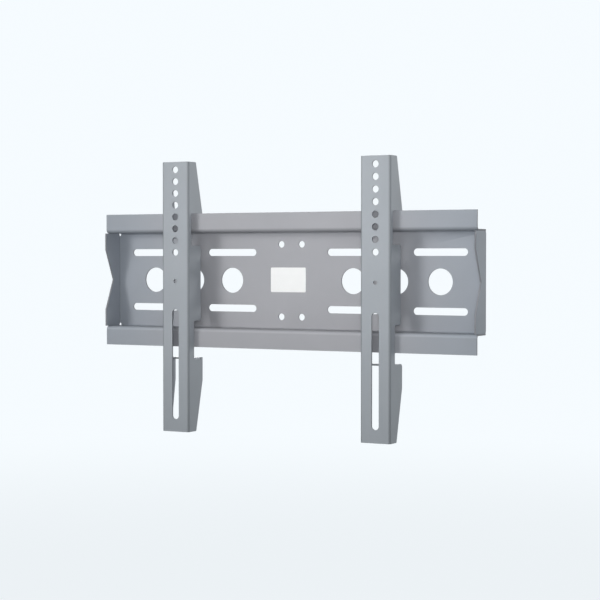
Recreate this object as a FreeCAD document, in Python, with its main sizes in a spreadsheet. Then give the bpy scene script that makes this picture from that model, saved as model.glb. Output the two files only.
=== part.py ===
import FreeCAD, Part
import math
import os
import re
import Sketcher

# Fixed wall mount: one folded wall plate with a rail along its top and bottom, and two
# folded arms that hook over the top rail. X runs along the plate, +Y towards the wall and
# +Z up. The origin is on the wall surface, at the middle of the plate. Millimetres.

SIZES = [
    # sheet steel and its folds
    ("sheet_metal", 2),
    ("inside_bend", 1),
    ("lip_inside_bend", 3),
    # wall plate
    ("plate_length", 524),
    ("plate_height", 170),
    ("plate_depth", 30),
    ("recess_height", 121),
    ("end_flange_depth", 33),
    ("end_flange_gap", 0.3),
    ("vee_depth", 16.5),
    ("vee_height", 78),
    ("vee_round", 3),
    ("relief_hole", 3.5),
    ("relief_length", 3.5),
    # wall fixings
    ("stud_spacing", 406.4),
    ("middle_hole_spacing", 289.6),
    ("inner_slot_spacing", 172.8),
    ("slot_row_spacing", 71),
    ("wall_slot_length", 71),
    ("wall_slot_width", 9),
    ("cable_hole", 32),
    ("corner_hole", 8.5),
    ("corner_hole_spacing", 29),
    ("corner_hole_rows", 91),
    # label
    ("label_length", 50),
    ("label_height", 31),
    ("label_film", 0.2),
    ("label_round", 1.5),
    ("label_shift", 4.5),
    ("label_rise", 1),
    # arms
    ("arm_left_place", 146),
    ("arm_right_place", 137),
    ("arm_width", 40),
    ("arm_length", 343.5),
    ("arm_top", 150.5),
    ("arm_standoff", 13.5),
    ("arm_end_depth", 18),
    ("arm_neck", 6.7),
    ("hook_depth", 33.5),
    ("hook_drop", 12),
    ("hook_clearance", 1),
    ("recess_reach", 29),
    ("lift_room", 16.5),
    ("ledge_room", 8.5),
    ("lip_gap", 0.3),
    ("foot_gap", 14),
    ("foot_depth", 33.5),
    ("foot_length", 29),
    ("foot_round", 4),
    ("left_edge_trim", 5),
    ("corner_round", 1.5),
    ("hook_round", 3),
    # holes in the arms
    ("hole_pitch", 15),
    ("screen_hole", 8.5),
    ("first_hole", 10),
    ("centre_hole", 5),
    ("centre_hole_place", 151.5),
    ("screen_slot_start", 187.5),
    ("screen_slot_end", 16),
    ("screen_slot_width", 9.5),
    # lock tab across each arm
    ("tab_inset", 1.5),
    ("tab_depth", 13),
    ("tab_gap", 0.5),
    ("tab_hole", 6.5),
]
SCREEN_HOLES = 8

doc = FreeCAD.newDocument("wall_mount")
sheet = doc.addObject("Spreadsheet::Sheet", "sizes")
for row, (name, value) in enumerate(SIZES, start=1):
    sheet.set(f"A{row}", name)
    sheet.set(f"B{row}", str(value))
    sheet.setAlias(f"B{row}", name)
doc.recompute()


def bound(text):
    """Write an expression on the sheet's names as one that other objects can read."""
    return re.sub(r"[a-z_]+", lambda word: "sizes." + word.group(0), text)


def worth(text):
    """The value of an expression on the sheet's names."""
    return float(sheet.evalExpression(text))


def new_body(name):
    body = doc.addObject("PartDesign::Body", name)
    body.Label = name
    return body


def new_sketch(body, name, role, lift=None):
    """A sketch on one of the body's origin planes, moved along the plane's normal by lift."""
    sketch = body.newObject("Sketcher::SketchObject", name)
    plane = [item for item in body.Origin.OriginFeatures if item.Role == role][0]
    sketch.AttachmentSupport = [(plane, "")]
    sketch.MapMode = "FlatFace"
    if lift:
        sketch.setExpression("AttachmentOffset.Base.z", bound(lift))
    return sketch


def hold(sketch, kind, first, point, text):
    """Bind one driving constraint of the sketch to an expression."""
    if kind in ("DistanceX", "DistanceY"):
        index = sketch.addConstraint(
            Sketcher.Constraint(kind, -1, 1, first, point, worth(text))
        )
    else:
        index = sketch.addConstraint(Sketcher.Constraint(kind, first, worth(text)))
    sketch.setExpression(f"Constraints[{index}]", bound(text))


def place_point(sketch, item, point, across, up):
    """Place a point of the sketch, on an axis where its coordinate is nought."""
    for kind, text, axis in (("DistanceX", across, -2), ("DistanceY", up, -1)):
        if text == "0":
            sketch.addConstraint(Sketcher.Constraint("PointOnObject", item, point, axis))
        else:
            hold(sketch, kind, item, point, text)


def outline(sketch, corners):
    """A closed outline of straight edges through corners given as expressions."""
    points = [FreeCAD.Vector(worth(across), worth(up), 0) for across, up in corners]
    start = sketch.GeometryCount
    for here, there in zip(points, points[1:] + points[:1]):
        sketch.addGeometry(Part.LineSegment(here, there))
    for step, (across, up) in enumerate(corners):
        line = start + step
        after = start + (step + 1) % len(corners)
        sketch.addConstraint(Sketcher.Constraint("Coincident", line, 2, after, 1))
        place_point(sketch, line, 1, across, up)


def rectangle(sketch, left, right, low, high):
    outline(sketch, [(left, low), (right, low), (right, high), (left, high)])


def circle(sketch, across, up, diameter):
    middle = FreeCAD.Vector(worth(across), worth(up), 0)
    ring = Part.Circle(middle, FreeCAD.Vector(0, 0, 1), worth(diameter) / 2)
    item = sketch.addGeometry(ring)
    place_point(sketch, item, 3, across, up)
    hold(sketch, "Diameter", item, 0, diameter)


def round_slot(sketch, ends, width):
    """A slot with round ends about two centres, given as expressions."""
    centres = [FreeCAD.Vector(worth(across), worth(up), 0) for across, up in ends]
    run = (centres[1] - centres[0]).normalize()
    side = FreeCAD.Vector(-run.y, run.x, 0) * (worth(width) / 2)
    turn = math.atan2(run.y, run.x)
    arcs = []
    for centre, (across, up), first in zip(centres, ends, (turn + math.pi / 2, turn - math.pi / 2)):
        ring = Part.Circle(centre, FreeCAD.Vector(0, 0, 1), worth(width) / 2)
        item = sketch.addGeometry(Part.ArcOfCircle(ring, first, first + math.pi))
        place_point(sketch, item, 3, across, up)
        hold(sketch, "Diameter", item, 0, width)
        arcs.append(item)
    lower = sketch.addGeometry(Part.LineSegment(centres[0] - side, centres[1] - side))
    upper = sketch.addGeometry(Part.LineSegment(centres[1] + side, centres[0] + side))
    for first, end, second, other in (
        (arcs[0], 2, lower, 1),
        (lower, 2, arcs[1], 1),
        (arcs[1], 2, upper, 1),
        (upper, 2, arcs[0], 1),
    ):
        sketch.addConstraint(Sketcher.Constraint("Tangent", first, end, second, other))


def pad(body, sketch, name, length, both_ways=False):
    feature = body.newObject("PartDesign::Pad", name)
    feature.Profile = sketch
    feature.SideType = "Symmetric" if both_ways else "One side"
    feature.setExpression("Length", bound(length))
    doc.recompute()
    return feature


def cut(body, sketch, name, length=None):
    """Cut a sketch out of the body both ways, to a total length or right through."""
    before = body.Shape.Volume
    feature = body.newObject("PartDesign::Pocket", name)
    feature.Profile = sketch
    feature.SideType = "Symmetric"
    if length:
        feature.setExpression("Length", bound(length))
    else:
        feature.Type = "ThroughAll"
    doc.recompute()
    assert body.Shape.Volume < before - 0.01, name + " cuts nothing"
    return feature


def round_edges(body, name, along, places, radius):
    """Round the straight edges along X, Y or Z that pass through the given places."""
    base = body.Tip
    axis = "XYZ".index(along)
    others = [index for index in range(3) if index != axis]
    wanted = [[worth(text) for text in place] for place in places]
    picked = []
    for number, edge in enumerate(base.Shape.Edges, start=1):
        ends = [vertex.Point for vertex in edge.Vertexes]
        if len(ends) != 2 or edge.Curve.TypeId != "Part::GeomLine":
            continue
        if any(abs(ends[0][index] - ends[1][index]) > 0.001 for index in others):
            continue
        for place in wanted:
            across = [ends[0][index] for index in others]
            if all(abs(want - value) < 0.001 for want, value in zip(place, across)):
                picked.append(f"Edge{number}")
                break
    feature = body.newObject("PartDesign::Fillet", name)
    feature.Base = (base, picked)
    feature.setExpression("Radius", bound(radius))
    doc.recompute()
    assert picked, name + " finds no edge"
    return feature


def wall_plate():
    """The web lies on the wall. A ledge at its top and bottom comes forward to a lip."""
    body = new_body("wall_plate")
    ledge = "recess_height / 2"
    ledge_back = "recess_height / 2 + sheet_metal"
    rim = "plate_height / 2"
    lip_back = "-(plate_depth - sheet_metal)"
    section = new_sketch(body, "plate_section", "YZ_Plane")
    upper = [
        ("0", ledge_back),
        (lip_back, ledge_back),
        (lip_back, rim),
        ("-plate_depth", rim),
        ("-plate_depth", ledge),
        ("-sheet_metal", ledge),
    ]
    lower = [(across, f"-({up})") for across, up in reversed(upper)]
    outline(section, upper + lower)
    pad(body, section, "plate_strip", "plate_length", both_ways=True)
    for name, (across, up), radius in (
        ("root_outer_bends", ("0", ledge_back), "inside_bend + sheet_metal"),
        ("root_inner_bends", ("-sheet_metal", ledge), "inside_bend"),
        ("lip_outer_bends", ("-plate_depth", ledge), "lip_inside_bend + sheet_metal"),
        ("lip_inner_bends", (lip_back, ledge_back), "lip_inside_bend"),
    ):
        round_edges(body, name, "X", [(across, up), (across, f"-({up})")], radius)

    # the web is cut clear of the ledges where the ends are folded forward
    flange_top = "recess_height / 2 - inside_bend - end_flange_gap"
    corners = new_sketch(body, "corner_cuts", "XZ_Plane")
    for side in ("", "-"):
        for level in ("", "-"):
            rectangle(
                corners,
                f"{side}(plate_length / 2 - relief_length)",
                f"{side}(plate_length / 2 + sheet_metal)",
                f"{level}({flange_top})",
                f"{level}({ledge_back} + sheet_metal)",
            )
    cut(body, corners, "corner_cut", "2 * (sheet_metal + inside_bend)")

    # both ends are folded forward, with a shallow vee in their front edge
    front = "-end_flange_depth"
    root = "-(sheet_metal + inside_bend)"
    flange_end = "recess_height / 2 - end_flange_gap"
    for name, lift in (
        ("left_end", "-plate_length / 2"),
        ("right_end", "plate_length / 2 - sheet_metal"),
    ):
        end = new_sketch(body, name + "_outline", "YZ_Plane", lift)
        outline(
            end,
            [
                ("0", f"-({flange_top})"),
                ("0", flange_top),
                (root, flange_top),
                (root, flange_end),
                (front, flange_end),
                (front, "vee_height / 2"),
                ("-(end_flange_depth - vee_depth)", "0"),
                (front, "-vee_height / 2"),
                (front, f"-({flange_end})"),
                (root, f"-({flange_end})"),
                (root, f"-({flange_top})"),
            ],
        )
        pad(body, end, name + "_flange", "sheet_metal")
    side_faces = [("plate_length / 2", "0"), ("-plate_length / 2", "0")]
    inner = "plate_length / 2 - sheet_metal"
    inner_faces = [(inner, "-sheet_metal"), (f"-({inner})", "-sheet_metal")]
    round_edges(body, "end_outer_bends", "Z", side_faces, "inside_bend + sheet_metal")
    round_edges(body, "end_inner_bends", "Z", inner_faces, "inside_bend")
    round_edges(body, "vee_rounding", "X", [("-(end_flange_depth - vee_depth)", "0")], "vee_round")

    relief = new_sketch(body, "relief_circles", "XZ_Plane")
    for side in ("", "-"):
        for level in ("", "-"):
            circle(relief, f"{side}({inner})", f"{level}({flange_top})", "relief_hole")
    cut(body, relief, "relief_holes", "2 * (sheet_metal + inside_bend)")

    # two rows of level slots, for wall studs and for solid walls
    slots = new_sketch(body, "wall_slots", "XZ_Plane")
    reach = "(wall_slot_length - wall_slot_width) / 2"
    for spacing in ("stud_spacing", "inner_slot_spacing"):
        for side in ("-", ""):
            for level in ("-", ""):
                row = f"{level}slot_row_spacing / 2"
                middle = f"{side}{spacing} / 2"
                ends = [(f"{middle} - {reach}", row), (f"{middle} + {reach}", row)]
                round_slot(slots, ends, "wall_slot_width")
    cut(body, slots, "wall_slot_cut")

    # a row of six cable holes, and four fixing holes about the middle
    holes = new_sketch(body, "web_holes", "XZ_Plane")
    for spacing in ("stud_spacing", "middle_hole_spacing", "inner_slot_spacing"):
        for side in ("-", ""):
            circle(holes, f"{side}{spacing} / 2", "0", "cable_hole")
    for side in ("-", ""):
        for level in ("-", ""):
            across = f"{side}corner_hole_spacing / 2"
            circle(holes, across, f"{level}corner_hole_rows / 2", "corner_hole")
    cut(body, holes, "web_hole_cut")
    return body


def label():
    """A blank film stuck to the middle of the web."""
    body = new_body("label")
    face = new_sketch(body, "label_outline", "XZ_Plane", "sheet_metal")
    left = "-label_shift - label_length / 2"
    right = "-label_shift + label_length / 2"
    low = "label_rise - label_height / 2"
    high = "label_rise + label_height / 2"
    rectangle(face, left, right, low, high)
    pad(body, face, "label_sheet", "label_film")
    corners = [(across, up) for across in (left, right) for up in (low, high)]
    round_edges(body, "label_corners", "Y", corners, "label_round")
    return body


def arm(name, place, outer):
    """A folded channel that hooks over the top lip. Its outer flange is on the side named."""
    body = new_body(name)
    inner = "-" if outer == "" else ""
    face = "-(plate_depth + arm_standoff)"
    tip = f"{face} + arm_end_depth"
    hook_back = f"{face} + hook_depth"
    hook_front = "-(plate_depth - sheet_metal) + hook_clearance"
    neck = f"{face} + arm_neck"
    reach = f"{face} + recess_reach"
    notch = "-(plate_depth + lip_gap)"
    foot = f"{face} + foot_depth"
    rim = "plate_height / 2"
    hook_end = "plate_height / 2 - hook_drop"
    reach_top = "recess_height / 2 - lift_room"
    reach_end = "-(recess_height / 2 - ledge_room)"
    foot_top = "-(plate_height / 2 + foot_gap)"
    foot_end = f"{foot_top} - foot_length"
    end = "arm_top - arm_length"

    side = new_sketch(body, name + "_outline", "YZ_Plane")
    outline(
        side,
        [
            (face, "arm_top"),
            (tip, "arm_top"),
            (hook_back, rim),
            (hook_back, hook_end),
            (hook_front, hook_end),
            (hook_front, rim),
            (neck, rim),
            (neck, reach_top),
            (reach, reach_top),
            (reach, reach_end),
            (notch, reach_end),
            (notch, foot_top),
            (foot, foot_top),
            (foot, foot_end),
            (tip, end),
            (face, end),
        ],
    )
    pad(body, side, name + "_block", "arm_width", both_ways=True)

    # the left-hand flange of either arm is the shallower one
    left_hook = f"{hook_back} - left_edge_trim"
    left_reach = f"{reach} - left_edge_trim"
    left_foot = f"{foot} - left_edge_trim"
    hook_room = f"{hook_end} - hook_drop / 2"
    reach_room = f"{reach_end} - hook_drop / 2"
    trim = new_sketch(body, name + "_left_edge", "YZ_Plane", "-arm_width / 4")
    outline(
        trim,
        [
            (tip, "arm_top"),
            (left_hook, rim),
            (left_hook, hook_room),
            (left_reach, hook_room),
            (left_reach, reach_room),
            (left_foot, reach_room),
            (left_foot, foot_end),
            (tip, end),
            ("plate_depth", end),
            ("plate_depth", "arm_top"),
        ],
    )
    cut(body, trim, name + "_left_trim", "arm_width / 2")

    hollow = new_sketch(body, name + "_hollow", "XY_Plane")
    wall = "arm_width / 2 - sheet_metal"
    rectangle(hollow, f"-({wall})", wall, f"{face} + sheet_metal", "plate_depth")
    cut(body, hollow, name + "_channel")
    small = [
        (tip, "arm_top"),
        (hook_front, hook_end),
        (neck, rim),
        (neck, reach_top),
        (notch, reach_end),
        (notch, foot_top),
        (tip, end),
    ]
    round_edges(body, name + "_corners", "X", small, "corner_round")
    round_edges(body, name + "_rest_corner", "X", [(hook_front, rim)], "hook_clearance")
    large = [(hook_back, hook_end), (reach, reach_top), (reach, reach_end)]
    large += [(left_hook, hook_end), (left_reach, reach_top), (left_reach, reach_end)]
    round_edges(body, name + "_hook_corners", "X", large, "hook_round")
    outside = [("arm_width / 2", face), ("-arm_width / 2", face)]
    inside = [(wall, f"{face} + sheet_metal"), (f"-({wall})", f"{face} + sheet_metal")]
    round_edges(body, name + "_outer_bends", "Z", outside, "inside_bend + sheet_metal")
    round_edges(body, name + "_inner_bends", "Z", inside, "inside_bend")
    outer_foot = [(left_foot if outer else foot, foot_top)]
    round_edges(body, name + "_foot_corner", "X", outer_foot, "foot_round")

    holes = new_sketch(body, name + "_hole_circles", "XZ_Plane")
    for number in range(SCREEN_HOLES):
        circle(holes, "0", f"arm_top - first_hole - {number} * hole_pitch", "screen_hole")
    circle(holes, "0", "arm_top - centre_hole_place", "centre_hole")
    upper = "arm_top - screen_slot_start - screen_slot_width / 2"
    lower = f"{end} + screen_slot_end + screen_slot_width / 2"
    round_slot(holes, [("0", lower), ("0", upper)], "screen_slot_width")
    cut(body, holes, name + "_holes")

    # a tab folded in from the inner flange, level with the top of the foot
    tab = new_sketch(body, name + "_tab_outline", "XY_Plane", f"{foot_top} - sheet_metal")
    tab_front = f"{notch} + tab_inset"
    rectangle(
        tab,
        f"{inner}(arm_width / 2 - sheet_metal / 2)",
        f"{outer}({wall} - tab_gap)",
        tab_front,
        f"{tab_front} + tab_depth",
    )
    pad(body, tab, name + "_tab", "sheet_metal")
    tab_root = [(f"{inner}({wall})", f"{foot_top} - sheet_metal")]
    round_edges(body, name + "_tab_bend", "Y", tab_root, "inside_bend")
    hole = new_sketch(body, name + "_tab_circle", "XY_Plane")
    circle(hole, "0", f"{tab_front} + tab_depth / 2", "tab_hole")
    cut(body, hole, name + "_tab_hole")
    body.setExpression("Placement.Base.x", bound(place))
    doc.recompute()
    return body


parts = [
    wall_plate(),
    label(),
    arm("arm_left", "-arm_left_place", "-"),
    arm("arm_right", "arm_right_place", ""),
]
doc.recompute()

for item in doc.Objects:
    assert "Invalid" not in item.State and "Error" not in item.State, item.Label
os.makedirs("parts", exist_ok=True)
for body in parts:
    assert not body.Shape.isNull() and body.Shape.isValid(), body.Label
    assert len(body.Shape.Solids) == 1, body.Label
    body.Shape.exportStep(f"parts/{body.Label}.step")
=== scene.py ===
import math

import bpy
import numpy as np
from mathutils import Euler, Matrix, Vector
from mathutils.bvhtree import BVHTree
from mathutils.geometry import delaunay_2d_cdt


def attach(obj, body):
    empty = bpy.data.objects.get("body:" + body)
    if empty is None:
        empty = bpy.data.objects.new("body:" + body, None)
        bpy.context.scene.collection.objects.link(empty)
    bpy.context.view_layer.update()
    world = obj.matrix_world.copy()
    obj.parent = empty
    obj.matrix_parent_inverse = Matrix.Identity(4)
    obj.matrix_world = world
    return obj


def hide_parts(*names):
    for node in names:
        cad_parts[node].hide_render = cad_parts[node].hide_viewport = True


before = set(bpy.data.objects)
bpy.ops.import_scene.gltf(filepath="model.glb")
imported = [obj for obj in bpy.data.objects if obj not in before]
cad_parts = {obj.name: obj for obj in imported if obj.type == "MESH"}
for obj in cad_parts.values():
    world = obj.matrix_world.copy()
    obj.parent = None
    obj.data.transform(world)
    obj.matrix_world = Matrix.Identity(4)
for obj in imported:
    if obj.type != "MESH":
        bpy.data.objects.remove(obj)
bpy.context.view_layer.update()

# ---- Viewpoint
# The mount is seen from its right and a little above its middle, from about two metres.
# The lens and place were found from the plate's and arms' edges in the photograph.
LENS = 99.36  # in millimetres, for a sensor 36 mm wide
CAMERA_PLACE = (1.0049, -1.8166, 0.0294)
CAMERA_TURN = (88.52, 0.0, 28.68)  # in degrees about X, Y and Z

camera_data = bpy.data.cameras.new("viewpoint")
camera_data.sensor_width = 36.0
camera_data.lens = LENS
camera_data.clip_start = 0.05
camera = bpy.data.objects.new("viewpoint", camera_data)
camera.location = CAMERA_PLACE
camera.rotation_euler = Euler([math.radians(turn) for turn in CAMERA_TURN], "XYZ")
bpy.context.scene.collection.objects.link(camera)
bpy.context.scene.camera = camera

# ---- Wall plate
# One blank of sheet steel, punched flat and then folded: a web that lies on the wall, a
# ledge and a lip along its top and bottom, and two ends that are turned forward. All its
# edges are softened by a silver-grey powder coat.
MM = 0.001
SHEET = 2.0  # thickness of the steel, in millimetres as all sizes in the patterns are
BEND_INSIDE = 1.0  # inside radius of every bend but the lips'
BEND_MIDDLE = BEND_INSIDE + SHEET / 2
BEND_LENGTH = BEND_MIDDLE * math.pi / 2
BEND_STEPS = 8
LIP_BEND_INSIDE = 3.0
LIP_BEND_MIDDLE = LIP_BEND_INSIDE + SHEET / 2
LIP_BEND_LENGTH = LIP_BEND_MIDDLE * math.pi / 2
EDGE_SOFTNESS = 0.3
EDGE_STEPS = 3
EDGE_ANGLE = math.radians(50)  # an edge at least this sharp is softened
FLAT_ANGLE = math.radians(1.0)  # faces that meet at less than this become one
SAME_PLACE = 1e-5  # places on a blank that are closer than this are one
PROUD = 1e-8  # in metres: a corner further out than this stands proud
SLACK = 0.01  # for places that lie on the line between two folds

PLATE_HALF_LENGTH = 262.0
LEDGE_INSIDE = 60.5
PLATE_DEPTH = 30.0
LIP_END = 85.0
END_ROOT_HEIGHT = 59.2
END_HALF_HEIGHT = 60.45
END_DEPTH = 33.0
VEE_DEPTH = 16.5
VEE_HALF_HEIGHT = 39.0
VEE_ROUND = 3.0
RELIEF_RADIUS = 1.75
RELIEF_LENGTH = 3.5
RELIEF_OFFSET = 1.0  # from the end of the flat web to the relief's middle, once folded
RELIEF_STEPS = 12

STUD_SPACING = 406.4  # between the outer slots, and between the outer cable holes
MIDDLE_SPACING = 289.6
INNER_SPACING = 172.8
WALL_SLOT_ROWS = 71.0
WALL_SLOT_RADIUS = 4.5
WALL_SLOT_STRETCH = 31.0  # half of a slot's straight run
CABLE_HOLE_RADIUS = 16.0
SMALL_HOLE_COLUMNS = 29.0
SMALL_HOLE_ROWS = 91.0
SMALL_HOLE_RADIUS = 4.25

# how many points the outline of each kind of hole has, and a rounded corner's steps
LARGE_ROUND_POINTS = 64
SLOT_POINTS = 48
SMALL_ROUND_POINTS = 40
TINY_ROUND_POINTS = 32
CORNER_STEPS = 6

web_half_height = LEDGE_INSIDE - BEND_INSIDE
web_half_length = PLATE_HALF_LENGTH - SHEET - BEND_INSIDE
lip_room = SHEET + LIP_BEND_INSIDE
ledge_length = PLATE_DEPTH - SHEET - BEND_INSIDE - lip_room
ledge_start = web_half_height + BEND_LENGTH
lip_bend_start = ledge_start + ledge_length
lip_start = lip_bend_start + LIP_BEND_LENGTH
plate_half_height = lip_start + LIP_END - LEDGE_INSIDE - lip_room
end_start = web_half_length + BEND_LENGTH
end_length = END_DEPTH - SHEET - BEND_INSIDE


def feed(link, socket, value):
    """Set a node's socket to a plain number, or link another node's output to it."""
    if isinstance(value, (int, float)):
        socket.default_value = value
    else:
        link(value, socket)


def maths_for(nodes, link):
    """A function that adds a maths node to a tree and feeds it."""

    def maths(operation, *values, clamp=False):
        node = nodes.new("ShaderNodeMath")
        node.operation = operation
        node.use_clamp = clamp
        for socket, value in zip(node.inputs, values):
            feed(link, socket, value)
        return node.outputs[0]

    return maths


def punch_tree():
    """Node tree that lays out one round or long hole in rows and columns on the flat blank."""
    tree = bpy.data.node_groups.new("punched_holes", "GeometryNodeTree")
    wanted = (
        ("Columns", "NodeSocketInt"),
        ("Column Pitch", "NodeSocketFloat"),
        ("Rows", "NodeSocketInt"),
        ("Row Pitch", "NodeSocketFloat"),
        ("Middle", "NodeSocketVector"),
        ("Hole Radius", "NodeSocketFloat"),
        ("Stretch Across", "NodeSocketFloat"),
        ("Stretch Up", "NodeSocketFloat"),
        ("Points", "NodeSocketInt"),
        ("Steel", "NodeSocketMaterial"),
    )
    for name, kind in wanted:
        tree.interface.new_socket(name, in_out="INPUT", socket_type=kind)
    tree.interface.new_socket("Geometry", in_out="OUTPUT", socket_type="NodeSocketGeometry")
    nodes, link = tree.nodes, tree.links.new
    maths = maths_for(nodes, link)
    given = nodes.new("NodeGroupInput").outputs

    def vector(across, up):
        node = nodes.new("ShaderNodeCombineXYZ")
        for socket, value in zip(node.inputs, (across, up)):
            if value is not None:
                link(value, socket)
        return node.outputs[0]

    def line(count, offset, first):
        node = nodes.new("GeometryNodeMeshLine")
        node.mode = "OFFSET"
        link(count, node.inputs["Count"])
        link(first, node.inputs["Start Location"])
        link(offset, node.inputs["Offset"])
        return node.outputs[0]

    def first_place(count, pitch):
        return maths("MULTIPLY", maths("MULTIPLY", maths("SUBTRACT", count, 1), pitch), -0.5)

    columns = line(
        given["Columns"],
        vector(given["Column Pitch"], None),
        vector(first_place(given["Columns"], given["Column Pitch"]), None),
    )
    rows = line(
        given["Rows"],
        vector(None, given["Row Pitch"]),
        vector(None, first_place(given["Rows"], given["Row Pitch"])),
    )
    grid = nodes.new("GeometryNodeInstanceOnPoints")
    link(columns, grid.inputs["Points"])
    link(rows, grid.inputs["Instance"])
    places = nodes.new("GeometryNodeRealizeInstances")
    link(grid.outputs[0], places.inputs[0])

    ring = nodes.new("GeometryNodeCurvePrimitiveCircle")
    link(given["Points"], ring.inputs["Resolution"])
    link(given["Hole Radius"], ring.inputs["Radius"])
    where = nodes.new("GeometryNodeInputPosition")
    apart = nodes.new("ShaderNodeSeparateXYZ")
    link(where.outputs[0], apart.inputs[0])
    pull = [
        maths("MULTIPLY", maths("SIGN", apart.outputs[axis], 0), given[name])
        for axis, name in ((0, "Stretch Across"), (1, "Stretch Up"))
    ]
    stretched = nodes.new("GeometryNodeSetPosition")
    link(ring.outputs[0], stretched.inputs["Geometry"])
    link(vector(*pull), stretched.inputs["Offset"])
    edge = nodes.new("GeometryNodeCurveToMesh")
    link(stretched.outputs[0], edge.inputs["Curve"])

    holes = nodes.new("GeometryNodeInstanceOnPoints")
    link(places.outputs[0], holes.inputs["Points"])
    link(edge.outputs[0], holes.inputs["Instance"])
    moved = nodes.new("GeometryNodeTransform")
    link(holes.outputs[0], moved.inputs["Geometry"])
    link(given["Middle"], moved.inputs["Translation"])
    real = nodes.new("GeometryNodeRealizeInstances")
    link(moved.outputs[0], real.inputs[0])
    painted = nodes.new("GeometryNodeSetMaterial")
    link(real.outputs[0], painted.inputs["Geometry"])
    link(given["Steel"], painted.inputs["Material"])
    link(painted.outputs[0], nodes.new("NodeGroupOutput").inputs[0])
    return tree


PUNCH = punch_tree()


def punched(
    steel,
    middle,
    radius,
    columns=(1, 0.0),
    rows=(1, 0.0),
    stretch=(0.0, 0.0),
    points=LARGE_ROUND_POINTS,
):
    """The outlines of a group of like holes, each a list of places on the flat blank.

    Columns and rows are a count and a pitch each. A stretch makes a round hole a slot.
    """
    holder = bpy.data.objects.new("punch", bpy.data.meshes.new("punch"))
    bpy.context.scene.collection.objects.link(holder)
    modifier = holder.modifiers.new("punch", "NODES")
    modifier.node_group = PUNCH
    values = {
        "Columns": columns[0],
        "Column Pitch": columns[1],
        "Rows": rows[0],
        "Row Pitch": rows[1],
        "Middle": (middle[0], middle[1], 0.0),
        "Hole Radius": radius,
        "Stretch Across": stretch[0],
        "Stretch Up": stretch[1],
        "Points": points,
        "Steel": steel,
    }
    for socket in PUNCH.interface.items_tree:
        if socket.in_out == "INPUT":
            modifier[socket.identifier] = values[socket.name]
    seen = bpy.context.evaluated_depsgraph_get()
    mesh = bpy.data.meshes.new_from_object(holder.evaluated_get(seen))
    places = [(vertex.co.x, vertex.co.y) for vertex in mesh.vertices]
    bpy.data.objects.remove(holder)
    bpy.data.meshes.remove(mesh)
    return [places[first : first + points] for first in range(0, len(places), points)]


def rounded(corners):
    """An outline through corners, each (across, up) or (across, up, radius)."""
    path = []
    for index, corner in enumerate(corners):
        here = Vector(corner[:2])
        if len(corner) == 2:
            path.append(tuple(here))
            continue
        back = (Vector(corners[index - 1][:2]) - here).normalized()
        on = (Vector(corners[(index + 1) % len(corners)][:2]) - here).normalized()
        half = back.angle(on) / 2
        centre = here + (back + on).normalized() * (corner[2] / math.sin(half))
        reach = corner[2] / math.tan(half)
        first, last = here + back * reach - centre, here + on * reach - centre
        turn = first.angle_signed(last)
        for step in range(CORNER_STEPS + 1):
            angle = -turn * step / CORNER_STEPS
            spun = Vector(
                (
                    first.x * math.cos(angle) - first.y * math.sin(angle),
                    first.x * math.sin(angle) + first.y * math.cos(angle),
                )
            )
            path.append(tuple(centre + spun))
    return path


def inside(loops, places):
    """Which of the places lie on the blank: within its outline and in none of its holes."""
    found = np.zeros(len(places), bool)
    for loop in loops:
        ring = np.array(loop)
        for (x0, y0), (x1, y1) in zip(ring, np.roll(ring, -1, axis=0)):
            if y0 == y1:
                continue
            spans = (y0 > places[:, 1]) != (y1 > places[:, 1])
            cross = x0 + (places[:, 1] - y0) * (x1 - x0) / (y1 - y0)
            found ^= spans & (places[:, 0] < cross)
    return found


def settle(soft, sharp):
    """Let no softened corner stray from the sharp sheet, or stand proud of it."""
    tree = BVHTree.FromPolygons(
        [vertex.co for vertex in sharp.vertices],
        [list(face.vertices) for face in sharp.polygons],
    )
    linked = [[] for vertex in soft.vertices]
    for edge in soft.edges:
        for one, other in (edge.vertices, reversed(edge.vertices)):
            linked[one].append(other)
    found = [tree.find_nearest(vertex.co) for vertex in soft.vertices]
    strays = [gap > EDGE_SOFTNESS * MM / 2 for _, _, _, gap in found]
    for vertex, stray, (nearest, facing, _, _) in zip(soft.vertices, strays, found):
        if not stray and (vertex.co - nearest).dot(facing) > PROUD:
            vertex.co = nearest

    # a stray goes to the middle of those neighbours that are settled and lie together
    while any(strays):
        for index, others in enumerate(linked):
            spots = [soft.vertices[other].co for other in others if not strays[other]]
            if not strays[index] or not spots:
                continue
            middle = min(spots, key=lambda spot: sum((spot - other).length for other in spots))
            close = [spot for spot in spots if (spot - middle).length < MM]
            mean = sum(close, Vector((0.0, 0.0, 0.0))) / len(close)
            soft.vertices[index].co = tree.find_nearest(mean)[0]
            strays[index] = False


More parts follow.
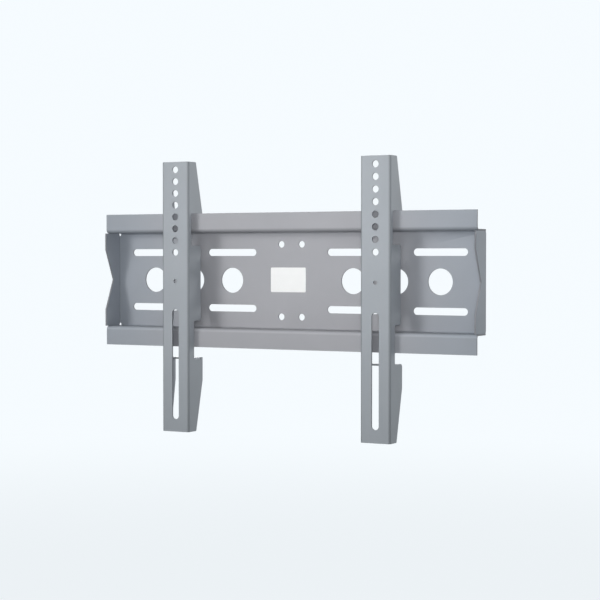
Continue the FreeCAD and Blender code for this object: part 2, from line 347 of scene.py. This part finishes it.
def folded(name, loops, lines, fold, steel, cut_edge):
    """A piece of sheet steel, from the outlines on its blank, its bend lines and its fold."""
    places, edges = [], []
    for loop in loops:
        start = len(places)
        places += [Vector(place) for place in loop]
        edges += [(start + i, start + (i + 1) % len(loop)) for i in range(len(loop))]
    for first, last in lines:
        edges.append((len(places), len(places) + 1))
        places += [Vector(first), Vector(last)]
    flat, _, faces, *_ = delaunay_2d_cdt(places, edges, [], 0, SAME_PLACE)
    spots = np.array([tuple(place) for place in flat])
    middles = np.array([spots[list(face)].mean(axis=0) for face in faces])
    kept = [face for face, there in zip(faces, inside(loops, middles)) if there]
    used = sorted({corner for face in kept for corner in face})
    order = {corner: index for index, corner in enumerate(used)}
    mesh = bpy.data.meshes.new(name)
    mesh.from_pydata(
        [Vector(fold(*spots[corner])) * MM for corner in used],
        [],
        [[order[corner] for corner in face] for face in kept],
    )
    for face in mesh.polygons:
        face.use_smooth = True
    mesh.materials.append(steel)
    mesh.materials.append(cut_edge)
    blank = bpy.data.objects.new(name, mesh)
    bpy.context.scene.collection.objects.link(blank)

    def as_mesh():
        seen = bpy.context.evaluated_depsgraph_get()
        return bpy.data.meshes.new_from_object(blank.evaluated_get(seen))

    plain = blank.modifiers.new("plain_faces", "DECIMATE")
    plain.decimate_type = "DISSOLVE"
    plain.angle_limit = FLAT_ANGLE
    thick = blank.modifiers.new("thickness", "SOLIDIFY")
    thick.thickness = SHEET * MM
    thick.offset = 0.0
    thick.use_even_offset = True
    thick.material_offset_rim = 1
    sharp = as_mesh()
    soft = blank.modifiers.new("softened_edges", "BEVEL")
    soft.width = EDGE_SOFTNESS * MM
    soft.segments = EDGE_STEPS
    soft.limit_method = "ANGLE"
    soft.angle_limit = EDGE_ANGLE
    soft.use_clamp_overlap = False
    soft.loop_slide = False
    even = blank.modifiers.new("even_shading", "WEIGHTED_NORMAL")
    even.mode = "FACE_AREA"
    even.keep_sharp = False
    done = as_mesh()
    settle(done, sharp)
    blank.modifiers.clear()
    blank.data = done
    bpy.data.meshes.remove(mesh)
    bpy.data.meshes.remove(sharp)
    done.name = name
    return blank


def ranged(nodes, link, value, low, high, results=(0.0, 1.0), smooth=False):
    """A result that goes from the first to the second as the value goes from low to high."""
    node = nodes.new("ShaderNodeMapRange")
    if smooth:
        node.interpolation_type = "SMOOTHSTEP"
    for name, number in zip(("From Min", "From Max", "To Min", "To Max"), (low, high, *results)):
        node.inputs[name].default_value = number
    link(value, node.inputs["Value"])
    return node.outputs["Result"]


def coat_group():
    """Shader group for a powder coat on folded steel.

    It has fine grain, mottling and soft rubs, paler thin edges, painted shade and a painted
    highlight on the bends, and a painted bluish light towards the ends of a long piece.
    """
    tree = bpy.data.node_groups.new("powder_coat", "ShaderNodeTree")
    wanted = (
        ("Tone", "NodeSocketColor", (0.4, 0.4, 0.42, 1.0)),
        ("Grain Size", "NodeSocketFloat", 0.0007),
        ("Grain Depth", "NodeSocketFloat", 0.00002),
        ("Speckle", "NodeSocketFloat", 0.1),
        ("Mottling", "NodeSocketFloat", 0.05),
        ("Edge Width", "NodeSocketFloat", 0.0008),
        ("Edge Paleness", "NodeSocketFloat", 0.04),
        # the end tone and share paint a bluish light on a piece's ends
        ("End Tone", "NodeSocketColor", (0.4, 0.4, 0.42, 1.0)),
        ("End Share", "NodeSocketFloat", 0.0),
        # the bend, under, brow and top values paint shade and a highlight into the colour
        ("Bend Painted Shade", "NodeSocketFloat", 0.32),
        ("Under Painted Shade", "NodeSocketFloat", 0.45),
        ("Brow Painted Highlight", "NodeSocketFloat", 1.1),
        ("Top Painted Shade", "NodeSocketFloat", 1.2),
        ("Roughness", "NodeSocketFloat", 0.5),
    )
    for name, kind, value in wanted:
        socket = tree.interface.new_socket(name, in_out="INPUT", socket_type=kind)
        socket.default_value = value
    for name, kind in (
        ("Colour", "NodeSocketColor"),
        ("Roughness", "NodeSocketFloat"),
        ("Normal", "NodeSocketVector"),
    ):
        tree.interface.new_socket(name, in_out="OUTPUT", socket_type=kind)
    nodes, link = tree.nodes, tree.links.new
    given = nodes.new("NodeGroupInput").outputs
    result = nodes.new("NodeGroupOutput").inputs
    where = nodes.new("ShaderNodeTexCoord").outputs["Object"]
    maths = maths_for(nodes, link)

    def noise(scale, detail, roughness=0.5):
        node = nodes.new("ShaderNodeTexNoise")
        link(where, node.inputs["Vector"])
        feed(link, node.inputs["Scale"], scale)
        node.inputs["Detail"].default_value = detail
        node.inputs["Roughness"].default_value = roughness
        return node.outputs["Fac"]

    coarse_share = 0.3  # of the fine grains' count
    grains = maths("DIVIDE", 1.0, given["Grain Size"])
    fine = noise(grains, detail=2.0, roughness=0.6)
    coarse = noise(maths("MULTIPLY", grains, coarse_share), detail=1.0)
    cloud = noise(scale=14.0, detail=3.0)
    patch = noise(scale=45.0, detail=2.0)

    # grain and mottling about an even tone
    speckle = maths("MULTIPLY", maths("SUBTRACT", fine, 0.5), given["Speckle"])
    uneven = maths("SUBTRACT", maths("ADD", cloud, patch), 1.0)
    mottle = maths("MULTIPLY", uneven, given["Mottling"])
    shade = maths("ADD", 1.0, maths("ADD", speckle, mottle))

    # the coat draws back from a sharp edge and is paler there, more so in patches
    edge_gain, least_wear, patch_wear = 2.5, 0.6, 0.8
    round_off = nodes.new("ShaderNodeBevel")
    round_off.samples = 6
    link(given["Edge Width"], round_off.inputs["Radius"])
    surface = nodes.new("ShaderNodeNewGeometry")
    match = nodes.new("ShaderNodeVectorMath")
    match.operation = "DOT_PRODUCT"
    link(round_off.outputs[0], match.inputs[0])
    link(surface.outputs["Normal"], match.inputs[1])
    turned_off = maths("SUBTRACT", 1.0, match.outputs["Value"])
    edge = maths("MULTIPLY", turned_off, edge_gain, clamp=True)
    wear = maths("ADD", least_wear, maths("MULTIPLY", patch, patch_wear))
    edge = maths("MULTIPLY", edge, wear, clamp=True)
    shade = maths("ADD", shade, maths("MULTIPLY", edge, given["Edge Paleness"]))

    # painted shade darkens every upright bend; a level bend, only at its front between these
    # depths in metres, gets painted shade facing down, a painted highlight where it turns up
    # and painted shade again where it faces straight up
    back_depth, front_depth = -0.010, -0.022
    facing = nodes.new("ShaderNodeSeparateXYZ")
    link(nodes.new("ShaderNodeTexCoord").outputs["Normal"], facing.inputs[0])
    across, depth, up = facing.outputs
    place = nodes.new("ShaderNodeSeparateXYZ")
    link(where, place.inputs[0])
    forward = ranged(nodes, link, place.outputs[1], back_depth, front_depth)
    upright = maths("MULTIPLY", maths("ABSOLUTE", maths("MULTIPLY", across, depth)), -2.0)
    bend_painted_shade = maths("MULTIPLY", upright, given["Bend Painted Shade"])
    under = maths("MULTIPLY", maths("MINIMUM", up, 0.0), given["Under Painted Shade"])
    brow = maths("MAXIMUM", up, 0.0)
    brow_painted_highlight = maths("MULTIPLY", brow, given["Brow Painted Highlight"])
    top_painted_shade = maths("MULTIPLY", maths("MULTIPLY", brow, brow), given["Top Painted Shade"])
    level = maths("MULTIPLY", maths("SUBTRACT", maths("ADD", under, brow_painted_highlight), top_painted_shade), forward)
    shade = maths("ADD", shade, maths("ADD", bend_painted_shade, level))

    # towards the ends of a long piece, between these distances in metres, painted bluish light
    # lightens and cools the tone
    middle_reach, end_reach = 0.10, 0.25
    from_middle = maths("ABSOLUTE", place.outputs[0])
    away = ranged(nodes, link, from_middle, middle_reach, end_reach, smooth=True)
    painted_end_light = nodes.new("ShaderNodeMix")
    painted_end_light.data_type = "RGBA"
    link(maths("MULTIPLY", away, given["End Share"]), painted_end_light.inputs["Factor"])
    link(given["Tone"], painted_end_light.inputs["A"])
    link(given["End Tone"], painted_end_light.inputs["B"])

    tone = nodes.new("ShaderNodeVectorMath")
    tone.operation = "SCALE"
    link(painted_end_light.outputs["Result"], tone.inputs[0])
    link(shade, tone.inputs["Scale"])
    link(tone.outputs[0], result["Colour"])

    # a rub is a little smoother than the coat round it, and a grain a little rougher
    rub_gloss, grain_roughness = -0.25, 0.5
    rub = maths("MULTIPLY", maths("SUBTRACT", cloud, 0.5), rub_gloss)
    grain = maths("MULTIPLY", speckle, grain_roughness)
    sheen = maths("ADD", given["Roughness"], maths("ADD", rub, grain), clamp=True)
    link(sheen, result["Roughness"])

    fine_height = 0.6  # of the coarse grain's
    bump = nodes.new("ShaderNodeBump")
    link(given["Grain Depth"], bump.inputs["Distance"])
    link(maths("ADD", maths("MULTIPLY", fine, fine_height), coarse), bump.inputs["Height"])
    link(bump.outputs[0], result["Normal"])
    return tree


COAT = coat_group()


def coated(name, tone, **values):
    """A powder-coated steel material in its own tone, with other values for the coat."""
    material = bpy.data.materials.new(name)
    material.use_nodes = True
    nodes, link = material.node_tree.nodes, material.node_tree.links.new
    shader = nodes["Principled BSDF"]
    shader.inputs["Specular IOR Level"].default_value = 0.35
    coat = nodes.new("ShaderNodeGroup")
    coat.node_tree = COAT
    coat.inputs["Tone"].default_value = (*tone, 1.0)
    for key, value in values.items():
        coat.inputs[key.replace("_", " ")].default_value = value
    link(coat.outputs["Colour"], shader.inputs["Base Color"])
    link(coat.outputs["Roughness"], shader.inputs["Roughness"])
    link(coat.outputs["Normal"], shader.inputs["Normal"])
    return material


# the plate's ends are lightened and cooled by painted bluish light
plate_steel = coated(
    "plate_powder_coat",
    tone=(0.408, 0.408, 0.436),
    End_Tone=(0.398, 0.428, 0.478, 1.0),
    End_Share=1.0,
)
plate_edge = coated("plate_cut_edge", tone=(0.300, 0.304, 0.330), Roughness=0.6)


def fold_plate(across, up):
    """Where a place on the plate's blank goes once the blank is folded."""
    side, height = math.copysign(1.0, across), math.copysign(1.0, up)
    over, past = abs(across) - web_half_length, abs(up) - web_half_height
    if past <= 0 or abs(across) > PLATE_HALF_LENGTH + SLACK:
        if over <= 0:
            return across, -SHEET / 2, up
        if over < BEND_LENGTH:
            turn = over / BEND_MIDDLE
            reach = web_half_length + BEND_MIDDLE * math.sin(turn)
            return side * reach, -SHEET - BEND_INSIDE + BEND_MIDDLE * math.cos(turn), up
        depth = SHEET + BEND_INSIDE + over - BEND_LENGTH
        return side * (PLATE_HALF_LENGTH - SHEET / 2), -depth, up
    if past < BEND_LENGTH:
        turn = past / BEND_MIDDLE
        rise = web_half_height + BEND_MIDDLE * math.sin(turn)
        return across, -SHEET - BEND_INSIDE + BEND_MIDDLE * math.cos(turn), height * rise
    past -= BEND_LENGTH
    if past < ledge_length:
        return across, -SHEET - BEND_INSIDE - past, height * (LEDGE_INSIDE + SHEET / 2)
    past -= ledge_length
    lip_centre = LEDGE_INSIDE + lip_room
    if past < LIP_BEND_LENGTH:
        turn = past / LIP_BEND_MIDDLE
        depth = PLATE_DEPTH - lip_room + LIP_BEND_MIDDLE * math.sin(turn)
        return across, -depth, height * (lip_centre - LIP_BEND_MIDDLE * math.cos(turn))
    return across, -(PLATE_DEPTH - SHEET / 2), height * (lip_centre + past - LIP_BEND_LENGTH)


# one quarter of the blank's outline, from the vee to the end of the top lip
end_edge = end_start + end_length
quarter = [
    (end_edge, VEE_HALF_HEIGHT),
    (end_edge, END_HALF_HEIGHT),
    (end_start, END_HALF_HEIGHT),
    (end_start, END_ROOT_HEIGHT),
]
relief_middle = web_half_length + BEND_MIDDLE * math.asin(RELIEF_OFFSET / BEND_MIDDLE)
relief_edge = PLATE_HALF_LENGTH - RELIEF_LENGTH
last_turn = math.acos((relief_edge - relief_middle) / RELIEF_RADIUS) - 2 * math.pi
for relief_step in range(RELIEF_STEPS + 1):
    relief_turn = last_turn * relief_step / RELIEF_STEPS
    quarter.append(
        (
            relief_middle + RELIEF_RADIUS * math.cos(relief_turn),
            END_ROOT_HEIGHT + RELIEF_RADIUS * math.sin(relief_turn),
        )
    )
quarter += [
    (relief_edge, ledge_start),
    (PLATE_HALF_LENGTH, ledge_start),
    (PLATE_HALF_LENGTH, plate_half_height),
]
vee = (end_edge - VEE_DEPTH, 0.0, VEE_ROUND)
right_end = [(x, -y) for x, y in reversed(quarter)] + [vee] + quarter
left_end = [(-x, -y, *round_off) for x, y, *round_off in right_end]

plate_loops = [rounded(right_end + left_end)]
for spacing in (STUD_SPACING, INNER_SPACING):
    plate_loops += punched(
        plate_steel,
        (0, 0),
        WALL_SLOT_RADIUS,
        columns=(2, spacing),
        rows=(2, WALL_SLOT_ROWS),
        stretch=(WALL_SLOT_STRETCH, 0.0),
        points=SLOT_POINTS,
    )
for spacing in (STUD_SPACING, MIDDLE_SPACING, INNER_SPACING):
    plate_loops += punched(plate_steel, (0, 0), CABLE_HOLE_RADIUS, columns=(2, spacing))
plate_loops += punched(
    plate_steel,
    (0, 0),
    SMALL_HOLE_RADIUS,
    columns=(2, SMALL_HOLE_COLUMNS),
    rows=(2, SMALL_HOLE_ROWS),
    points=SMALL_ROUND_POINTS,
)

# level bend lines run past the blank's ends, upright ones end at the relief holes
line_reach = 300.0
plate_lines = []
for bend_step in range(BEND_STEPS + 1):
    share = bend_step / BEND_STEPS * BEND_LENGTH
    lip_share = bend_step / BEND_STEPS * LIP_BEND_LENGTH
    for turned in (-1, 1):
        for level in (web_half_height + share, lip_bend_start + lip_share):
            height = turned * level
            plate_lines.append(((-line_reach, height), (line_reach, height)))
        level = turned * (web_half_length + share)
        plate_lines.append(((level, -END_ROOT_HEIGHT), (level, END_ROOT_HEIGHT)))

plate = folded("folded_plate", plate_loops, plate_lines, fold_plate, plate_steel, plate_edge)
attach(plate, "root")
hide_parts("wall_plate")

# ---- Label
# A blank white film with rounded corners, stuck to the middle of the web. It has a faint
# satin sheen and the slight unevenness of film laid by hand on a grained coat.
FILM_PALE = (1.0, 1.0, 0.995, 1.0)
FILM_DULL = (0.96, 0.96, 0.955, 1.0)
FILM_STOPS = (0.3, 0.7)
FILM_UNEVENNESS = 70.0  # waves in a metre
FILM_ROUGHNESS = (0.34, 0.46)
FILM_BUMP = 0.00003

film = bpy.data.materials.new("label_white_film")
film.use_nodes = True
film_nodes, film_link = film.node_tree.nodes, film.node_tree.links.new
film_shader = film_nodes["Principled BSDF"]
film_shader.inputs["Specular IOR Level"].default_value = 0.4
film_where = film_nodes.new("ShaderNodeTexCoord").outputs["Object"]
film_noise = film_nodes.new("ShaderNodeTexNoise")
film_noise.inputs["Scale"].default_value = FILM_UNEVENNESS
film_noise.inputs["Detail"].default_value = 3.0
film_link(film_where, film_noise.inputs["Vector"])
film_cloud = film_noise.outputs["Fac"]
film_tone = film_nodes.new("ShaderNodeValToRGB")
for film_stop, film_position, film_colour in zip(
    film_tone.color_ramp.elements, FILM_STOPS, (FILM_DULL, FILM_PALE)
):
    film_stop.position = film_position
    film_stop.color = film_colour
film_link(film_cloud, film_tone.inputs["Fac"])
film_link(film_tone.outputs["Color"], film_shader.inputs["Base Color"])
film_sheen = ranged(film_nodes, film_link, film_cloud, 0.0, 1.0, FILM_ROUGHNESS)
film_link(film_sheen, film_shader.inputs["Roughness"])
film_bump = film_nodes.new("ShaderNodeBump")
film_bump.inputs["Distance"].default_value = FILM_BUMP
film_link(film_cloud, film_bump.inputs["Height"])
film_link(film_bump.outputs["Normal"], film_shader.inputs["Normal"])
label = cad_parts["label"]
label.data.materials.clear()
label.data.materials.append(film)

# ---- Arms
# Each arm is one folded channel of the same coated sheet, hung on the top lip by hooks in
# its flanges, which taper to both ends. A lock tab is turned in under the bottom lip from
# the inner flange, the one that faces the other arm. Either arm's left flange is shallower.
arm_steel = coated("arm_powder_coat", tone=(0.412, 0.440, 0.476))
arm_edge = coated("arm_cut_edge", tone=(0.305, 0.326, 0.352), Roughness=0.6)

# levels on an arm, and the depths of its face and of its flanges' edge in front of the wall
ARM_HALF_WIDTH = 20.0
ARM_FACE = -43.5
ARM_TOP = 150.5
ARM_END = -193.0
TIP = -25.5  # at both ends
HOOK_BACK = -10.0
HOOK_FRONT = -27.0
HOOK_END = 73.0
NECK = -36.8  # in front of the top lip
NECK_END = 44.0
REACH = -14.5  # in the recess between the lips
REACH_END = -52.0
NOTCH = -30.3  # where the flange rests against the bottom lip
FOOT_TOP = -99.0
FOOT_END = -128.0
SMALL_ROUND = 1.5
HOOK_ROUND = 3.0
REST_ROUND = 1.0
FOOT_ROUND = 4.0
TAB_FRONT = -28.8
TAB_BACK = -15.8
LEFT_TRIM = 5.0  # how much shallower the left-hand flange is
TAB_REACH = 17.5
TAB_HOLE_RADIUS = 3.25
SLIT = 0.6  # width of the cut on both sides of the tab
SLIT_PAST_BEND = 0.2

BOLT_HOLES = 8
BOLT_HOLE_PITCH = 15.0
BOLT_HOLES_MIDDLE = 88.0
BOLT_HOLE_RADIUS = 4.25
CENTRE_HOLE_LEVEL = -1.0
CENTRE_HOLE_RADIUS = 2.5
ARM_SLOT_LEVEL = -107.0
ARM_SLOT_RADIUS = 4.75
ARM_SLOT_STRETCH = 65.25  # half of the slot's straight run

arm_flat = ARM_HALF_WIDTH - SHEET - BEND_INSIDE
flange_depth = ARM_FACE + SHEET + BEND_INSIDE
flange_start = arm_flat + BEND_LENGTH
tab_bend = FOOT_TOP - SHEET - BEND_INSIDE
tab_start = tab_bend + BEND_LENGTH
tab_end = tab_start + arm_flat + TAB_REACH


def on_flange(depth):
    """How far from the blank's middle a flange's place at this depth lies."""
    return flange_start + depth - flange_depth


def fold_arm(inner):
    """The fold of an arm whose inner flange, with the lock tab, is on the side given."""

    def fold(across, up):
        side, over = math.copysign(1.0, across), abs(across) - arm_flat
        if over <= 0:
            return across, ARM_FACE + SHEET / 2, up
        if over < BEND_LENGTH:
            turn = over / BEND_MIDDLE
            reach = arm_flat + BEND_MIDDLE * math.sin(turn)
            return side * reach, flange_depth - BEND_MIDDLE * math.cos(turn), up
        depth = flange_depth + over - BEND_LENGTH
        tab_edges = on_flange(TAB_FRONT) - SLACK, on_flange(TAB_BACK) + SLACK
        on_tab = tab_edges[0] <= abs(across) <= tab_edges[1]
        if side != inner or not on_tab or not tab_bend < up < REACH_END:
            return side * (ARM_HALF_WIDTH - SHEET / 2), depth, up
        past = up - tab_bend
        if past < BEND_LENGTH:
            turn = past / BEND_MIDDLE
            reach = arm_flat + BEND_MIDDLE * math.cos(turn)
            return side * reach, depth, tab_bend + BEND_MIDDLE * math.sin(turn)
        return side * (arm_flat - past + BEND_LENGTH), depth, FOOT_TOP - SHEET / 2

    return fold


def flange_path(has_tab, trim):
    """A flange's edge on the blank, from the arm's top to its lower end."""
    path = [
        (on_flange(TIP), ARM_TOP, SMALL_ROUND),
        (on_flange(HOOK_BACK - trim), LIP_END),
        (on_flange(HOOK_BACK - trim), HOOK_END, HOOK_ROUND),
        (on_flange(HOOK_FRONT), HOOK_END, SMALL_ROUND),
        (on_flange(HOOK_FRONT), LIP_END, REST_ROUND),
        (on_flange(NECK), LIP_END, SMALL_ROUND),
        (on_flange(NECK), NECK_END, SMALL_ROUND),
        (on_flange(REACH - trim), NECK_END, HOOK_ROUND),
        (on_flange(REACH - trim), REACH_END, HOOK_ROUND),
        (on_flange(NOTCH), REACH_END, SMALL_ROUND),
    ]
    if has_tab:
        front, back = on_flange(TAB_FRONT), on_flange(TAB_BACK)
        slit_end = tab_bend - SLIT_PAST_BEND
        path += [
            (on_flange(NOTCH), FOOT_TOP, SLIT),
            (front - SLIT, FOOT_TOP),
            (front - SLIT, slit_end),
            (front, slit_end),
            (front, tab_end, SMALL_ROUND),
            (back, tab_end, SMALL_ROUND),
            (back, slit_end),
            (back + SLIT, slit_end),
            (back + SLIT, FOOT_TOP),
            (on_flange(HOOK_BACK - trim), FOOT_TOP),
        ]
    else:
        path += [
            (on_flange(NOTCH), FOOT_TOP, SMALL_ROUND),
            (on_flange(HOOK_BACK - trim), FOOT_TOP, FOOT_ROUND),
        ]
    return path + [
        (on_flange(HOOK_BACK - trim), FOOT_END),
        (on_flange(TIP), ARM_END, SMALL_ROUND),
    ]


# each arm's name, its middle's place along the plate, and the side of its inner flange
for arm_name, arm_place, arm_inner in (("arm_left", -146.0, 1), ("arm_right", 137.0, -1)):
    right, left = flange_path(arm_inner == 1, 0.0), flange_path(arm_inner == -1, LEFT_TRIM)
    arm_loops = [rounded(right + [(-x, *rest) for x, *rest in reversed(left)])]
    arm_loops += punched(
        arm_steel,
        (0, BOLT_HOLES_MIDDLE),
        BOLT_HOLE_RADIUS,
        rows=(BOLT_HOLES, BOLT_HOLE_PITCH),
        points=SMALL_ROUND_POINTS,
    )
    arm_loops += punched(
        arm_steel, (0, CENTRE_HOLE_LEVEL), CENTRE_HOLE_RADIUS, points=TINY_ROUND_POINTS
    )
    arm_loops += punched(
        arm_steel,
        (0, ARM_SLOT_LEVEL),
        ARM_SLOT_RADIUS,
        stretch=(0.0, ARM_SLOT_STRETCH),
        points=SLOT_POINTS,
    )
    tab_middle = (arm_inner * on_flange((TAB_FRONT + TAB_BACK) / 2), tab_start + arm_flat)
    arm_loops += punched(arm_steel, tab_middle, TAB_HOLE_RADIUS, points=TINY_ROUND_POINTS)
    arm_lines = []
    line_top, line_bottom = ARM_TOP + 5, ARM_END - 5  # past both ends of the blank
    for bend_step in range(BEND_STEPS + 1):
        share = bend_step / BEND_STEPS * BEND_LENGTH
        for turned in (-1, 1):
            level = turned * (arm_flat + share)
            arm_lines.append(((level, line_bottom), (level, line_top)))
        ends = (arm_inner * on_flange(TAB_FRONT), arm_inner * on_flange(TAB_BACK))
        arm_lines.append(tuple((end, tab_bend + share) for end in ends))
    fold = fold_arm(arm_inner)
    arm = folded(
        "folded_" + arm_name,
        arm_loops,
        arm_lines,
        lambda across, up: np.add(fold(across, up), (arm_place, 0.0, 0.0)),
        arm_steel,
        arm_edge,
    )
    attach(arm, "root")
    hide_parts(arm_name)

# ---- Floor and light
# A plain pale floor well under the mount, and an even pale surround that fills what the
# lamps don't reach. A soft lamp lights the mount from the upper left in front, a weak one
# from beside the camera, and two from behind its right and left light its sides and back.
SURROUND = (0.92, 0.968, 1.0)
FLOOR_TONE = (0.86, 0.90, 0.94)
FLOOR_REACH = 30.0
FLOOR_LEVEL = -0.45
SHADOW_REACH = (0.5, 2.5)  # the floor's own shading fades out between these distances
SHADOW_FADE = (0.88, 1.0)
FILL_TONE = (0.96, 1.0, 0.985)
FILL_STRENGTH = 0.23

floor_mesh = bpy.data.meshes.new("pale_floor")
floor_corners = ((-1, -1), (1, -1), (1, 1), (-1, 1))
floor_mesh.from_pydata(
    [(x * FLOOR_REACH, y * FLOOR_REACH, FLOOR_LEVEL) for x, y in floor_corners],
    [],
    [(0, 1, 2, 3)],
)
floor = bpy.data.objects.new("pale_floor", floor_mesh)
bpy.context.scene.collection.objects.link(floor)


def seen_rays(nodes, link):
    """1 for the rays that show the surround itself: camera, glossy and transmission rays."""
    maths = maths_for(nodes, link)
    path = nodes.new("ShaderNodeLightPath").outputs
    seen = maths("MAXIMUM", path["Is Camera Ray"], path["Is Glossy Ray"])
    return maths("MAXIMUM", seen, path["Is Transmission Ray"])


ground = bpy.data.materials.new("pale_ground")
ground.use_nodes = True
ground_nodes, ground_link = ground.node_tree.nodes, ground.node_tree.links.new
ground_shader = ground_nodes["Principled BSDF"]
ground_shader.inputs["Base Color"].default_value = (*FLOOR_TONE, 1.0)
ground_shader.inputs["Roughness"].default_value = 1.0
ground_shader.inputs["Specular IOR Level"].default_value = 0.0
ground_glow = ground_nodes.new("ShaderNodeEmission")
ground_glow.inputs["Color"].default_value = (*SURROUND, 1.0)
ground_away = ground_nodes.new("ShaderNodeVectorMath")
ground_away.operation = "LENGTH"
ground_link(ground_nodes.new("ShaderNodeTexCoord").outputs["Object"], ground_away.inputs[0])
ground_fade = ranged(
    ground_nodes,
    ground_link,
    ground_away.outputs["Value"],
    *SHADOW_REACH,
    results=SHADOW_FADE,
    smooth=True,
)
ground_seen = seen_rays(ground_nodes, ground_link)
ground_share = maths_for(ground_nodes, ground_link)("MULTIPLY", ground_seen, ground_fade)
ground_mix = ground_nodes.new("ShaderNodeMixShader")
ground_link(ground_share, ground_mix.inputs[0])
ground_link(ground_shader.outputs[0], ground_mix.inputs[1])
ground_link(ground_glow.outputs[0], ground_mix.inputs[2])
ground_link(ground_mix.outputs[0], ground_nodes["Material Output"].inputs["Surface"])
floor_mesh.materials.append(ground)

world = bpy.data.worlds.new("pale_surround")
bpy.context.scene.world = world
world.use_nodes = True
world_nodes, world_link = world.node_tree.nodes, world.node_tree.links.new
world_nodes.clear()
fill = world_nodes.new("ShaderNodeBackground")
fill.inputs["Color"].default_value = (*FILL_TONE, 1.0)
fill.inputs["Strength"].default_value = FILL_STRENGTH
shown = world_nodes.new("ShaderNodeBackground")
shown.inputs["Color"].default_value = (*SURROUND, 1.0)
shown.inputs["Strength"].default_value = 1.0
world_mix = world_nodes.new("ShaderNodeMixShader")
world_link(seen_rays(world_nodes, world_link), world_mix.inputs[0])
world_link(fill.outputs[0], world_mix.inputs[1])
world_link(shown.outputs[0], world_mix.inputs[2])
world_out = world_nodes.new("ShaderNodeOutputWorld")
world_link(world_mix.outputs[0], world_out.inputs["Surface"])

# each lamp's width is in metres, its spread in degrees and its power in watts
for lamp_name, place, aim, width, spread, power in (
    ("soft_lamp", (-0.98, -1.69, 0.41), (0.0, 0.0, 0.13), 0.9, 30.0, 0.94),
    ("front_fill", (1.03, -1.88, 0.10), (0.0, 0.0, 0.12), 0.3, 26.0, 0.44),
    ("side_fill", (1.30, 1.55, 0.6), (0.0, 0.0, 0.1), 0.9, 40.0, 0.62),
    ("back_fill", (-1.10, 1.80, 0.6), (0.0, 0.0, 0.0), 0.9, 34.0, 0.80),
):
    lamp_data = bpy.data.lights.new(lamp_name, "AREA")
    lamp_data.shape = "SQUARE"
    lamp_data.size = width
    lamp_data.spread = math.radians(spread)
    lamp_data.energy = power
    lamp = bpy.data.objects.new(lamp_name, lamp_data)
    lamp.location = place
    lamp.rotation_euler = (Vector(aim) - Vector(place)).to_track_quat("-Z", "Y").to_euler()
    bpy.context.scene.collection.objects.link(lamp)

bpy.context.scene.view_settings.view_transform = "Standard"
